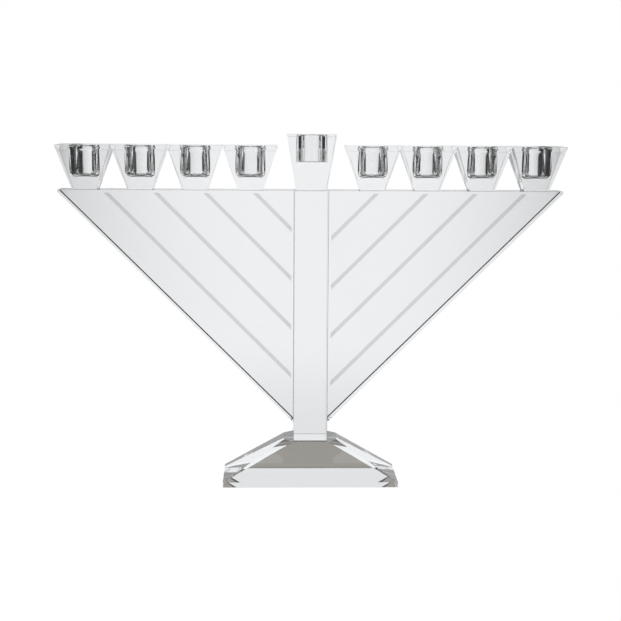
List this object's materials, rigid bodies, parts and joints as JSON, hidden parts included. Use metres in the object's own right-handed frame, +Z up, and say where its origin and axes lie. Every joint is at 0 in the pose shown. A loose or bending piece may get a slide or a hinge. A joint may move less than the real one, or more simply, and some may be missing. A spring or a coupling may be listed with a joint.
{
  "type": "menorah",
  "caption": "Clear crystal Hanukkah menorah: a row of square bored candle cups and a taller centre cup on two triangular panels, a square column and a bevelled base.",
  "frame": {"origin": "middle of the base's underside, where the menorah rests on the table", "axes": "+X runs along the row of cups to the viewer's right, +Y runs to the back, +Z is up"},
  "size_m": [0.2996, 0.044, 0.2094],
  "materials": {
    "crystal": "polished clear optical crystal, refractive index about 1.52, faint green-grey tint along long paths; the slanted bands cut in the panels are satin matt",
    "adhesive": "clear cured adhesive film, slightly hazy, seen as a thin grey line at each joint"
  },
  "bodies": {
    "root": {"base": "crystal", "column": "crystal", "left_panel": "crystal", "right_panel": "crystal", "shamash_cup": "crystal", "left_cup_1": "crystal", "left_cup_2": "crystal", "left_cup_3": "crystal", "left_cup_4": "crystal", "right_cup_1": "crystal", "right_cup_2": "crystal", "right_cup_3": "crystal", "right_cup_4": "crystal", "column_bond": "adhesive", "shamash_bond": "adhesive", "left_panel_bond": "adhesive", "right_panel_bond": "adhesive", "left_cup_bond_1": "adhesive", "left_cup_bond_2": "adhesive", "left_cup_bond_3": "adhesive", "left_cup_bond_4": "adhesive", "right_cup_bond_1": "adhesive", "right_cup_bond_2": "adhesive", "right_cup_bond_3": "adhesive", "right_cup_bond_4": "adhesive"}
  },
  "joints": []
}
